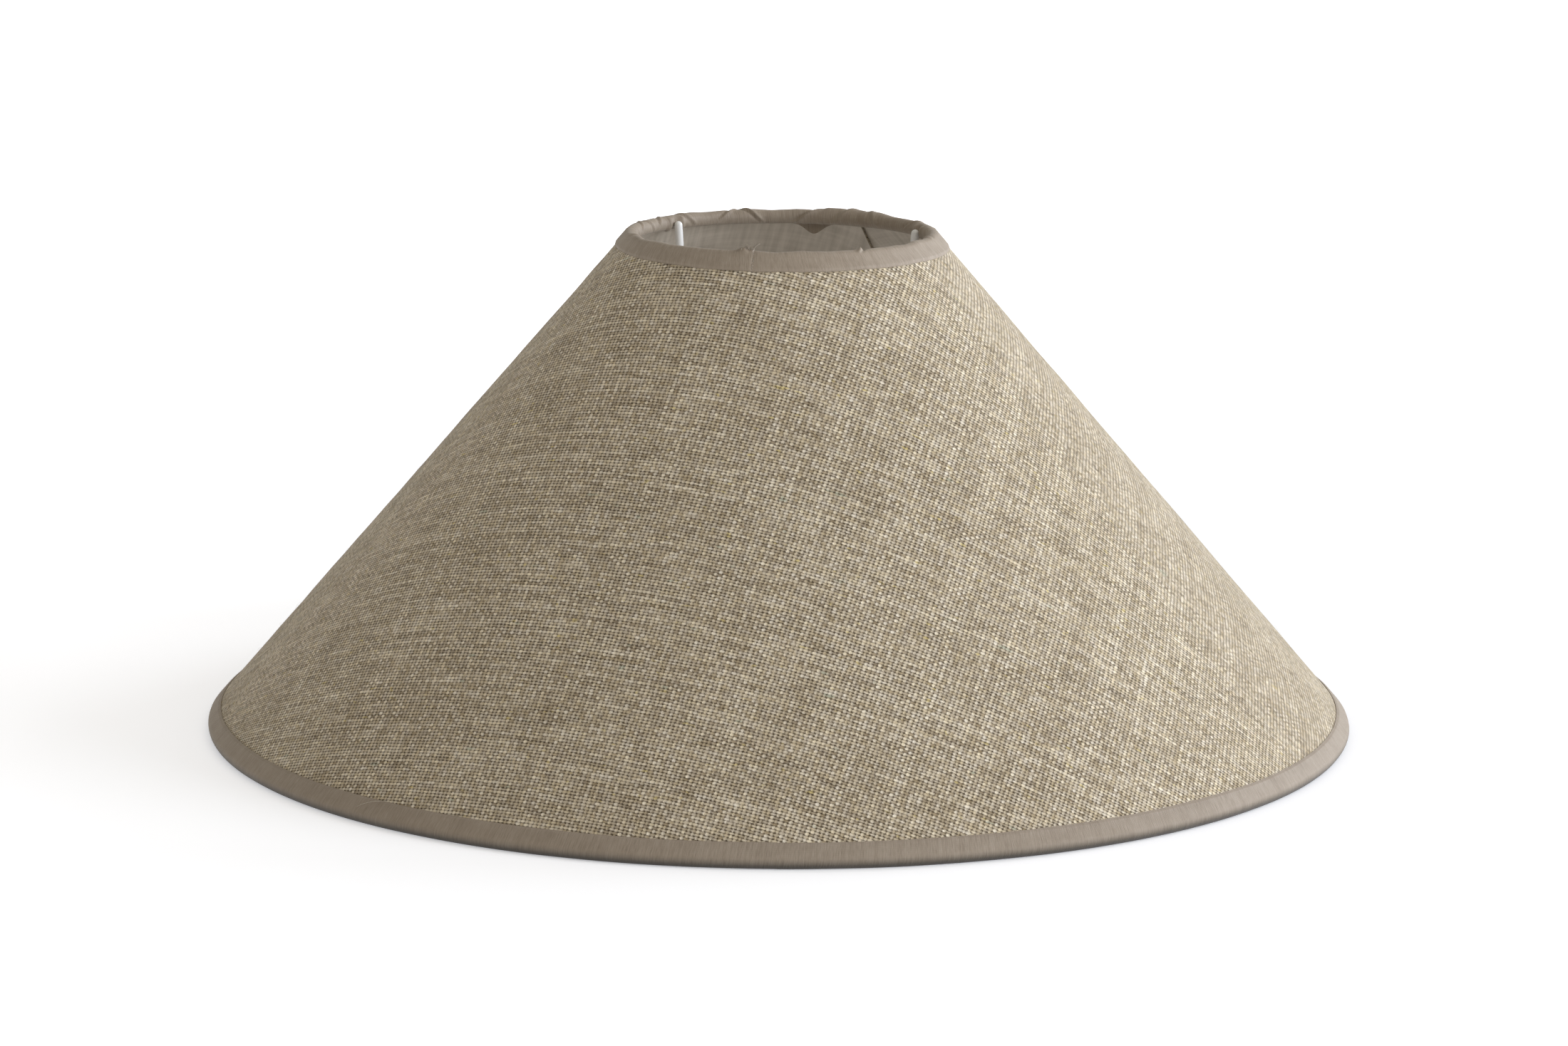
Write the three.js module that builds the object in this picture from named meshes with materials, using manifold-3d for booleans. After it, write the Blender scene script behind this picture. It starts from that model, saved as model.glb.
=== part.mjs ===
// Conical hard-back lamp shade. A linen cover is laminated to a styrene liner and rolled into a cone, two
// wire rings stiffen its edges, an edging tape wraps each edge round its ring, and three coated arms
// carry a fitter ring below the top mouth. Millimetres, +Z up, origin on the floor at the centre of the
// bottom rim. Azimuth is measured round Z from the front (-Y), positive towards +X.
import * as THREE from "three";
import { mergeVertices } from "three/addons/utils/BufferGeometryUtils.js";
import Module from "manifold-3d";

// Overall sizes, measured over the edging tape.
const bottomDiameter = 450;
const topDiameter = 124;
const height = 195;

// Sheets, rolled from flat stock.
const linerThickness = 0.4;
const linenThickness = 0.45;
const seamWidth = 12;
const seamAzimuth = 150;
const seamTapeWidth = 9;
const seamTapeThickness = 0.2;

// Edge rings and their tape.
const topWire = 3;
const bottomWire = 3;
const tapeThickness = 0.55;
const topTapeLeg = 7;
const bottomTapeLeg = 6;
const tapeTuck = 3.5;
const tapeWrap = 50;
const restingFlat = 0.2;

// Fitter: arms of coated wire and a stamped ring for the lampholder.
const armWire = 3.2;
const armCount = 3;
const firstArmAzimuth = 108;
const armLean = 5;
const armBend = 8;
const armSetback = 2;
const armTopInset = 2;
const fitterDrop = 28;
const fitterBore = 42;
const fitterLand = 7;
const fitterThickness = 1.5;

// Clearances between pieces that touch on the bench.
const sheetGap = 0.15;
const metalGap = 0.3;
const slitOverrun = 1;

// How finely the round shapes are divided.
const columns = 60;
const sheetRows = 4;
const wireSides = 8;
const capSteps = 5;
const armSteps = 6;

const wasm = await Module();
wasm.setup();

const columnAngle = 360 / columns;
const radians = THREE.MathUtils.degToRad;

const armAzimuths = Array.from(
  { length: armCount },
  (_, k) => firstArmAzimuth + (360 / armCount) * k,
);

// The point at an azimuth in degrees, a radius and a height.
function atAzimuth(azimuth, radius, z) {
  const a = radians(azimuth);
  return new THREE.Vector3(radius * Math.sin(a), -radius * Math.cos(a), z);
}

const fitterTop = height - fitterDrop;

// How thick an edge is from the linen's face to the inner side of its ring.
function edgeDepth(wire) {
  return linenThickness + sheetGap + linerThickness + metalGap + wire;
}

// The tape rounds each edge about a core, a point in the middle of that thickness. Its near face stands off
// far enough for the chords of the half turn to clear the ring.
function tapeStandOff(wire) {
  const chordShare = Math.cos(Math.PI / (2 * capSteps));
  return edgeDepth(wire) / 2 / chordShare + sheetGap;
}

function tapeRadius(wire) {
  return tapeStandOff(wire) + tapeThickness;
}

const topCore = new THREE.Vector2(
  topDiameter / 2 - tapeRadius(topWire),
  height - tapeRadius(topWire),
);
const bottomCore = new THREE.Vector2(
  bottomDiameter / 2 - tapeRadius(bottomWire),
  tapeRadius(bottomWire) - restingFlat,
);

// The wall runs down the slope; depth is measured into the shade from the linen's face, at right angles
// to it.
const down = bottomCore.clone().sub(topCore).normalize();
const outward = new THREE.Vector2(-down.y, down.x);

function inSection(core, wire, along, depth) {
  const fromCore = edgeDepth(wire) / 2 - depth;
  return core.clone().addScaledVector(down, along).addScaledVector(outward, fromCore);
}

// The seam: the end of the rolled laminate lies on its start, one laminate and a strip of tape further out.
const seamRise =
  linerThickness + linenThickness + seamTapeThickness + 3 * sheetGap;
const rampColumns = 4;

// How far out the laminate stands at an angle along it, counted from its start.
function riseAlong(angle) {
  const x = THREE.MathUtils.clamp(
    1 - (360 - angle) / (rampColumns * columnAngle),
    0,
    1,
  );
  return seamRise * x * x * (3 - 2 * x);
}

// A closed solid swept through sections, which are closed polygons of 3-D points. A ring's last section
// joins its first; an open strip is capped, with each section's two halves facing each other. Both halves
// are divided along the same diagonals, so nested sheets keep their gap where they twist.
function sweep(sections, isRing) {
  const size = sections[0].length;
  const count = sections.length;
  const index = [];
  const at = (s, p) => (s % count) * size + (p % size);
  const quad = (a, b, c, d) => index.push(a, b, c, a, c, d);
  for (let s = 0; s < (isRing ? count : count - 1); s++) {
    for (let p = 0; p < size; p++) {
      const corners = [at(s, p), at(s, p + 1), at(s + 1, p + 1), at(s + 1, p)];
      const farSide = p >= size / 2;
      quad(...(farSide ? [...corners.slice(1), corners[0]] : corners));
    }
  }
  if (!isRing) {
    for (let p = 0; p < size / 2 - 1; p++) {
      const facing = size - 1 - p;
      const last = count - 1;
      quad(at(0, p), at(0, facing), at(0, facing - 1), at(0, p + 1));
      quad(at(last, p), at(last, p + 1), at(last, facing - 1), at(last, facing));
    }
  }
  const geometry = new THREE.BufferGeometry();
  geometry.setFromPoints(sections.flat());
  geometry.setIndex(index);
  geometry.computeVertexNormals();
  return geometry;
}

// A sheet of the laminate between two depths, from one angle along the roll to another. Each angle is a
// function of the radius, so a strip keeps its width from the narrow end to the wide one.
function rolledSheet(depth, thickness, startAt, endAt, steps) {
  const edgeTop = inSection(topCore, topWire, 0, 0);
  const edgeBottom = inSection(bottomCore, bottomWire, 0, 0);
  const rows = Array.from({ length: sheetRows + 1 }, (_, k) => k / sheetRows);
  const sections = steps.map((step) => {
    const face = (row, into) => {
      const p = edgeTop.clone().lerp(edgeBottom, row);
      const angle = step(startAt(p.x), endAt(p.x));
      p.addScaledVector(outward, riseAlong(angle) - into);
      return atAzimuth(seamAzimuth + angle, p.x, p.y);
    };
    const outer = rows.map((row) => face(row, depth));
    const inner = rows.map((row) => face(row, depth + thickness)).reverse();
    return [...outer, ...inner];
  });
  return sweep(sections, false);
}

const widthAsAngle = (width, radius) =>
  THREE.MathUtils.radToDeg(width / radius);

// A whole turn in even columns, then the overlap in three.
function wholeTurn(depth, thickness) {
  const steps = [];
  for (let c = 0; c <= columns; c++) {
    steps.push(() => c * columnAngle);
  }
  for (let k = 1; k <= 3; k++) {
    steps.push((_, end) => 360 + ((end - 360) * k) / 3);
  }
  const end = (radius) => 360 + widthAsAngle(seamWidth, radius);
  return rolledSheet(depth, thickness, () => 0, end, steps);
}

function linenCover() {
  return wholeTurn(0, linenThickness);
}

function liner() {
  return wholeTurn(linenThickness + sheetGap, linerThickness);
}

// The strip lies under the end of the laminate, between it and the start.
function seamTape() {
  const margin = (seamWidth - seamTapeWidth) / 2;
  const start = (radius) => 360 + widthAsAngle(margin, radius);
  const end = (radius) => 360 + widthAsAngle(seamWidth - margin, radius);
  const steps = [0, 1, 2, 3].map((k) => (a, b) => a + ((b - a) * k) / 3);
  const depth = linenThickness + linerThickness + 2 * sheetGap;
  return rolledSheet(depth, seamTapeThickness, start, end, steps);
}

// A ring's wire lies against the liner, level with its edge's core.
function ringSection(core, wire) {
  return inSection(core, wire, 0, edgeDepth(wire) - wire / 2);
}

function edgeRing(core, wire) {
  const centre = ringSection(core, wire);
  const ring = new THREE.TorusGeometry(centre.x, wire / 2, wireSides, columns);
  ring.translate(0, 0, centre.y);
  return ring;
}

// How far the tape is pushed out at an azimuth where it covers the seam near a given radius. Over the
// seam the laminate has finer columns than the tape, so the tape also clears the arc that its own chords
// cut off.
function tapeRise(azimuth, radius) {
  const angle = THREE.MathUtils.euclideanModulo(azimuth - seamAzimuth, 360);
  const held =
    Math.ceil(widthAsAngle(seamWidth, radius) / columnAngle) * columnAngle;
  const chordSag = radius * (1 - Math.cos(radians(columnAngle / 2)));
  return angle <= held ? seamRise + chordSag : riseAlong(angle);
}

// The turns at which the tape bends round an edge. The lower edge is pressed flat under the core, between
// two turns of its own, and even turns too near the flat are left out.
function capTurns(wire, side) {
  const even = Array.from(
    { length: capSteps + 1 },
    (_, k) => (Math.PI * k) / capSteps,
  );
  if (side < 0) return even;
  const lowest = Math.atan2(-down.y, -outward.y);
  const halfFlat = Math.acos(1 - restingFlat / tapeRadius(wire));
  const apart = even.filter(
    (turn) => Math.abs(turn - lowest) > halfFlat + Math.PI / capSteps / 4,
  );
  return [...apart, lowest - halfFlat, lowest + halfFlat].sort((a, b) => a - b);
}

// The tape's section: a leg on the linen, half a turn about the core, on round the ring and back to the
// liner. side is 1 where the edge is the lower one and -1 where it is the upper one. Each stop on the way
// is a point of the face that lies on the edge, with the way the other face looks as a turn from outward.
function tapeSection(core, wire, leg, side, rise) {
  const half = tapeStandOff(wire);
  const stops = [{ along: -side * leg, out: half, share: 1, turn: 0 }];
  for (const turn of capTurns(wire, side)) {
    const share = (1 + Math.cos(turn)) / 2;
    const along = side * half * Math.sin(turn);
    stops.push({ along, out: half * Math.cos(turn), share, turn });
  }
  const wrap = wire / 2 + sheetGap;
  const ringOut = wrap - half;
  const wrapTurn = radians(tapeWrap);
  const linerOut =
    edgeDepth(wire) / 2 - linenThickness - linerThickness - 2 * sheetGap;
  const leaveOut = ringOut - wrap * Math.cos(wrapTurn);
  const leaveAlong = -side * wrap * Math.sin(wrapTurn);
  const landAlong =
    leaveAlong - (side * (linerOut - leaveOut)) / Math.tan(wrapTurn);
  stops.push(
    { along: leaveAlong, out: leaveOut, share: 0, turn: Math.PI + wrapTurn },
    { along: landAlong, out: linerOut, share: 0, turn: Math.PI },
    { along: landAlong - side * tapeTuck, out: linerOut, share: 0, turn: Math.PI },
  );
  const place = (stop, lift) => {
    const along = stop.along + side * lift * Math.sin(stop.turn);
    const out = stop.out + lift * Math.cos(stop.turn) + rise * stop.share;
    const p = core.clone().addScaledVector(down, along);
    return p.addScaledVector(outward, out);
  };
  const away = stops.map((stop) => place(stop, tapeThickness));
  const near = stops.map((stop) => place(stop, 0));
  return [...away, ...near.reverse()];
}

function tapeRing(core, wire, leg, side) {
  const sections = [];
  for (let c = 0; c < columns; c++) {
    const azimuth = c * columnAngle;
    const rise = tapeRise(azimuth, core.x);
    const section = tapeSection(core, wire, leg, side, rise).map((p) =>
      atAzimuth(azimuth, p.x, Math.max(p.y, 0)),
    );
    sections.push(side > 0 ? section : section.reverse());
  }
  return sweep(sections, true);
}

// An arm's centre line in its own plane: down past the ring's inner side, leaning in, round a bend and in
// to the fitter ring. overrun carries it on above its top end.
function armPath(azimuth, overrun) {
  const ring = ringSection(topCore, topWire);
  const lean = radians(armLean);
  const beside = (topWire / 2 + metalGap + armWire / 2) / Math.cos(lean);
  const topLevel = height - armTopInset + overrun;
  const top = new THREE.Vector2(
    ring.x - beside + (topLevel - ring.y) * Math.tan(lean),
    topLevel,
  );
  const level = fitterTop + metalGap + armWire / 2;
  const bendTurn = Math.PI / 2 - lean;
  const tangent = armBend * Math.tan(bendTurn / 2);
  const cornerX = top.x - (top.y - level) * Math.tan(lean);
  const corner = new THREE.Vector2(cornerX, level);
  const downArm = corner.clone().sub(top).normalize();
  const bendStart = corner.clone().addScaledVector(downArm, -tangent);
  const bendEnd = new THREE.Vector2(corner.x - tangent, level);
  const inner = new THREE.Vector2(fitterBore / 2 + armSetback, level);
  const lift = (p) => atAzimuth(azimuth, p.x, p.y);
  const path = new THREE.CurvePath();
  path.add(new THREE.LineCurve3(lift(top), lift(bendStart)));
  path.add(
    new THREE.QuadraticBezierCurve3(lift(bendStart), lift(corner), lift(bendEnd)),
  );
  path.add(new THREE.LineCurve3(lift(bendEnd), lift(inner)));
  return path;
}

function wireAlong(path, diameter) {
  const round = new THREE.Shape();
  for (let k = 0; k < wireSides; k++) {
    const a = (2 * Math.PI * (k + 0.5)) / wireSides;
    const x = (diameter / 2) * Math.cos(a);
    const y = (diameter / 2) * Math.sin(a);
    if (k === 0) round.moveTo(x, y);
    else round.lineTo(x, y);
  }
  round.closePath();
  const length = path.getLength();
  return new THREE.ExtrudeGeometry(round, {
    steps: Math.round((armSteps * length) / (2 * armBend)),
    bevelEnabled: false,
    extrudePath: path,
  });
}

function fitterRing() {
  const edge = fitterThickness / 4;
  const low = fitterTop - fitterThickness;
  const high = fitterTop;
  const inner = fitterBore / 2;
  const outer = inner + fitterLand;
  const profile = [
    [inner + edge, low],
    [outer - edge, low],
    [outer, low + edge],
    [outer, high - edge],
    [outer - edge, high],
    [inner + edge, high],
    [inner, high - edge],
    [inner, low + edge],
    [inner + edge, low],
  ].map(([r, z]) => new THREE.Vector2(r, z));
  const ring = new THREE.LatheGeometry(profile, columns);
  ring.rotateX(Math.PI / 2);
  return ring;
}

// A closed geometry as a solid that can be cut.
function asSolid(geometry) {
  const bare = geometry.clone();
  bare.deleteAttribute("normal");
  bare.deleteAttribute("uv");
  const merged = mergeVertices(bare, 1e-4);
  return new wasm.Manifold(
    new wasm.Mesh({
      numProp: 3,
      vertProperties: new Float32Array(merged.attributes.position.array),
      triVerts: new Uint32Array(merged.index.array),
    }),
  );
}

function asGeometry(solid) {
  const mesh = solid.getMesh();
  const geometry = new THREE.BufferGeometry();
  geometry.setAttribute(
    "position",
    new THREE.BufferAttribute(mesh.vertProperties, 3),
  );
  geometry.setIndex(new THREE.BufferAttribute(mesh.triVerts, 1));
  geometry.computeVertexNormals();
  return geometry;
}

// The top tape is slit where each arm leaves the ring.
function topTrim() {
  let solid = asSolid(tapeRing(topCore, topWire, topTapeLeg, -1));
  for (const azimuth of armAzimuths) {
    const way = armPath(azimuth, slitOverrun);
    solid = solid.subtract(asSolid(wireAlong(way, armWire + 4 * metalGap)));
  }
  return asGeometry(solid);
}

const finishes = {
  linen: { color: 0xb0a68f, roughness: 0.95, metalness: 0 },
  styrene: { color: 0xd9d2c4, roughness: 0.5, metalness: 0 },
  tape: { color: 0x94897b, roughness: 0.9, metalness: 0 },
  adhesive: { color: 0xe6e2d8, roughness: 0.6, metalness: 0 },
  wire: { color: 0x8d8f92, roughness: 0.4, metalness: 0.9 },
  coating: { color: 0xefefec, roughness: 0.35, metalness: 0 },
};

const shade = new THREE.Group();

function add(name, geometry, finish) {
  const material = new THREE.MeshStandardMaterial(finishes[finish]);
  const mesh = new THREE.Mesh(geometry, material);
  mesh.name = name;
  shade.add(mesh);
}

add("linen_cover", linenCover(), "linen");
add("liner", liner(), "styrene");
add("seam_tape", seamTape(), "adhesive");
add("top_ring", edgeRing(topCore, topWire), "wire");
add("bottom_ring", edgeRing(bottomCore, bottomWire), "wire");
add("top_trim", topTrim(), "tape");
add("bottom_trim", tapeRing(bottomCore, bottomWire, bottomTapeLeg, 1), "tape");
add("fitter_ring", fitterRing(), "coating");
armAzimuths.forEach((azimuth, k) =>
  add(`fitter_arm_${k + 1}`, wireAlong(armPath(azimuth, 0), armWire), "coating"),
);

export default shade;
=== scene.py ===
from math import radians

import bpy
import numpy as np
from mathutils import Matrix, Vector


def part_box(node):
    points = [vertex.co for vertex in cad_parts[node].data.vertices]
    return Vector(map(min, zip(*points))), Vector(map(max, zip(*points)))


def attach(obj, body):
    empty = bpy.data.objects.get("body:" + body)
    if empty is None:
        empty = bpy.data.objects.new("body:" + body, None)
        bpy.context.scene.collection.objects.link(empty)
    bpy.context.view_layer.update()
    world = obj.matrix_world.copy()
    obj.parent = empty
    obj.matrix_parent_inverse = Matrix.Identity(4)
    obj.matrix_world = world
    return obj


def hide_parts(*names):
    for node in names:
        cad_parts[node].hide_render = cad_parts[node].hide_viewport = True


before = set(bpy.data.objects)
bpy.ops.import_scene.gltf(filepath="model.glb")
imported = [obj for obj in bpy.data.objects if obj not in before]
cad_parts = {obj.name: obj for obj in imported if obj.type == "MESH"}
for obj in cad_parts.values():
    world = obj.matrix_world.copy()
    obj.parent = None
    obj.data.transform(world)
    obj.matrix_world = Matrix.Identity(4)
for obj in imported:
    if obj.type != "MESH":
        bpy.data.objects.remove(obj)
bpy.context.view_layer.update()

# camera, floor and light
view = {
    "distance": 1.879, "elevation": 10.93, "aimHeight": 0.1,
    "pitch": 11.57, "yaw": 0.05, "roll": 0.35, "lens": 109.8, "sensor": 36, "farthest": 50,
}


def setCamera():
    data = bpy.data.cameras.new("mainCamera")
    data.lens = view["lens"]
    data.sensor_width = view["sensor"]
    data.clip_end = view["farthest"]
    camera = linked("mainCamera", data)
    rise, distance = radians(view["elevation"]), view["distance"]
    camera.location = (0, -distance * np.cos(rise), view["aimHeight"] + distance * np.sin(rise))
    yaw = Matrix.Rotation(radians(-view["yaw"]), 3, "Z")
    pitch = Matrix.Rotation(radians(90 - view["pitch"]), 3, "X")
    roll = Matrix.Rotation(radians(view["roll"]), 3, "Z")
    camera.rotation_euler = (yaw @ pitch @ roll).to_euler()
    bpy.context.scene.camera = camera
    print("camera set")


# a broad light from the right and one from behind on the right, over daylight that is weaker on the left;
# the wall lets a little light through, so a weak light stands inside
lights = {
    "right": {"place": (1.97, -0.72, 0.78), "aimHeight": 0.08, "size": 1.2, "watts": 27.5},
    "backRight": {"place": (1.85, 0.98, 0.78), "aimHeight": 0.08, "size": 1.2, "watts": 21},
    "inside": {"place": (0.0, 0.0, 0.07), "aimHeight": 0.4, "size": 0.16, "watts": 0.0035},
}
lightColour = (0.93, 0.995, 1.12)
daylight = {"colour": (1.0, 0.95, 0.87), "fromLeft": 0.35, "fromRight": 0.76}


def setLights():
    scene = bpy.context.scene
    for name, light in lights.items():
        data = bpy.data.lights.new(name, "AREA")
        data.shape = "DISK"
        data.size = light["size"]
        data.energy = light["watts"]
        data.color = lightColour
        lamp = linked(name, data)
        lamp.location = light["place"]
        lamp.visible_camera = False
        aim = Vector((0, 0, light["aimHeight"])) - lamp.location
        lamp.rotation_euler = aim.to_track_quat("-Z", "Y").to_euler()
    world = bpy.data.worlds.new("studio")
    world.use_nodes = True
    tree = world.node_tree
    background = tree.nodes["Background"]
    sideways = tree.nodes.new("ShaderNodeSeparateXYZ")
    tree.links.new(tree.nodes.new("ShaderNodeTexCoord").outputs["Generated"], sideways.inputs[0])
    strength = tree.nodes.new("ShaderNodeMapRange")
    strength.inputs["From Min"].default_value = -1
    strength.inputs["To Min"].default_value = daylight["fromLeft"]
    strength.inputs["To Max"].default_value = daylight["fromRight"]
    tree.links.new(sideways.outputs["X"], strength.inputs["Value"])
    tint = tree.nodes.new("ShaderNodeVectorMath")
    tint.operation = "SCALE"
    tint.inputs[0].default_value = daylight["colour"]
    tree.links.new(strength.outputs[0], tint.inputs["Scale"])
    # what is seen of the sky is plain white, and the light from it is softer
    backdrop = tree.nodes.new("ShaderNodeMix")
    backdrop.data_type = "RGBA"
    backdrop.inputs[7].default_value = (1, 1, 1, 1)
    tree.links.new(tree.nodes.new("ShaderNodeLightPath").outputs["Is Camera Ray"], backdrop.inputs[0])
    tree.links.new(tint.outputs[0], backdrop.inputs[6])
    tree.links.new(backdrop.outputs[2], background.inputs["Color"])
    scene.world = world
    scene.view_settings.view_transform = "Standard"
    print("lights set")


# the floor glows a little where the lights don't reach it: on the left by x, and far off by distance
floorLook = {
    "half": 6.0, "base": (0.88, 0.88, 0.88), "roughness": 0.7, "glow": (0.96, 0.98, 1.03),
    "reach": 0.3, "left": 0.48, "right": 0.17, "near": 0.24, "far": 0.9, "away": 0.75,
}


def floorMaterial():
    n = Nodes("paleFloor")
    place = n.object()
    beside = n.spread(n.axes(place)[0], -floorLook["reach"], floorLook["reach"],
                      floorLook["left"], floorLook["right"])
    distant = n.spread(n.length(place), floorLook["near"], floorLook["far"], 0.0, floorLook["away"])
    return n.finish(Base_Color=colour(floorLook["base"]), Roughness=floorLook["roughness"],
                    Emission_Color=colour(floorLook["glow"]),
                    Emission_Strength=n.math("MAXIMUM", beside, distant))


def setFloor():
    half = floorLook["half"]
    corners = [(-half, -half, 0), (half, -half, 0), (half, half, 0), (-half, half, 0)]
    mesh = bpy.data.meshes.new("floor")
    mesh.from_pydata(corners, [], [(0, 1, 2, 3)])
    floor = linked("floor", mesh)
    mesh.materials.append(floorMaterial())
    print("floor set")


# small numpy tools
def smooth(x):  # 0 to 1 with a soft start and end
    x = np.clip(x, 0, 1)
    return x * x * (3 - 2 * x)


def latticeNoise(x, y, seed):
    # value noise from -1 to 1: random values on whole numbers of x and y, joined by smooth steps
    table = np.random.default_rng(seed).uniform(-1, 1, (256, 256))
    x0, y0 = np.floor(x).astype(int), np.floor(y).astype(int)
    fx, fy = smooth(x - x0), smooth(y - y0)

    def at(i, j):
        return table[(x0 + i) % 256, (y0 + j) % 256]

    low = at(0, 0) * (1 - fx) + at(1, 0) * fx
    high = at(0, 1) * (1 - fx) + at(1, 1) * fx
    return low * (1 - fy) + high * fy


def bump(x, width):  # a rounded ridge of height 1 about x = 0
    return np.exp(-((x / width) ** 2))


# the cone that the sheets and tapes follow
# Lengths are in metres. A section point is a radius and a height; "along" runs down the slope from the
# top core and "out" is measured at right angles to it, away from the axis. Azimuth is from the front,
# towards +X.
shade = {
    "topRadius": 0.062,  # over the top tape
    "height": 0.195,
    "tapeRound": 0.00296,  # the tape's outer face about each core
    "resting": 0.0002,  # how far the lower edge is pressed flat
    "edgeHalf": 0.00215,  # from a core to the linen's face
    "linen": 0.00045,
    "gap": 0.00015,
    "liner": 0.0004,
    "wire": 0.003,
    "seamAzimuth": 150.0,
    "seamWidth": 0.012,
    "seamRise": 0.0015,
    "rampAngle": 24.0,
    "grainAzimuth": -26.0,  # where the weft lies level
}

low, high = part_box("bottom_trim"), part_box("fitter_ring")
bottomCore = np.array([low[1].x - shade["tapeRound"], shade["tapeRound"] - shade["resting"]])
topCore = np.array([shade["topRadius"] - shade["tapeRound"], shade["height"] - shade["tapeRound"]])
slopeLength = float(np.hypot(*(bottomCore - topCore)))
down = (bottomCore - topCore) / slopeLength
outward = np.array([-down[1], down[0]])
sinHalfApex = down[0]


def toPoints(azimuth, radius, height):
    # turns a section about the axis: azimuth in degrees and a section point give a point in the frame
    turn = np.radians(azimuth)
    return np.stack([radius * np.sin(turn), -radius * np.cos(turn), height], axis=-1)


def sectionPoint(core, along, out):
    radius = core[0] + along * down[0] + out * outward[0]
    height = core[1] + along * down[1] + out * outward[1]
    return radius, height


def flatCut(azimuth, along):
    # the cone rolled out flat: distance from the apex, and an angle that is the azimuth times the sine of
    # the half apex, counted from where the weft lies level
    slant = topCore[0] / sinHalfApex + along
    turn = np.radians(azimuth - shade["grainAzimuth"]) * sinHalfApex
    return slant * np.sin(turn), -slant * np.cos(turn)


def seamRise(angle):
    # how far out the laminate stands at an angle along its roll; it climbs on to its own start
    return shade["seamRise"] * smooth(1 - (360 - angle) / shade["rampAngle"])


def linked(name, data):  # an object at the origin, in the scene
    piece = bpy.data.objects.new(name, data)
    bpy.context.scene.collection.objects.link(piece)
    return piece


def gridMesh(name, points, closeAcross=False, closeAlong=False, uv=None, capEnds=False, around=0.0):
    # joins a grid of points into quads, one object at the origin; rows run along, columns run across;
    # "around" is the length of a closed grid, so that its last row of faces runs on instead of back to zero
    rows, columns = points.shape[:2]
    index = np.arange(rows * columns).reshape(rows, columns)
    if closeAlong:
        index = np.vstack([index, index[:1]])
    if closeAcross:
        index = np.hstack([index, index[:, :1]])
    corners = [index[:-1, :-1], index[:-1, 1:], index[1:, 1:], index[1:, :-1]]
    quads = np.stack(corners, axis=-1).reshape(-1, 4)
    lastRow = 4 * (index.shape[1] - 1)
    faces = quads.tolist()
    if capEnds:
        faces += [index[0, ::-1][:columns].tolist(), index[-1][:columns].tolist()]
    mesh = bpy.data.meshes.new(name)
    mesh.from_pydata(points.reshape(-1, 3), [], faces)
    mesh.validate()
    if uv is not None:
        loops = np.zeros(len(mesh.loops), np.int32)
        mesh.loops.foreach_get("vertex_index", loops)
        cut = uv.reshape(-1, 2)[loops].astype(np.float32)
        if around:
            cut[-lastRow:].reshape(-1, 4, 2)[:, 2:, 0] += around
        layer = mesh.uv_layers.new(name="flatCut")
        layer.data.foreach_set("uv", cut.ravel())
    mesh.shade_smooth()
    mesh.set_sharp_from_angle(angle=radians(50))
    return linked(name, mesh)


def finishPiece(piece, material, slot, *nodes):
    piece.data.materials.append(material)
    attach(piece, "root")
    if nodes:
        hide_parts(*nodes)
    print("made", piece.name, len(piece.data.polygons), "faces")


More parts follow.
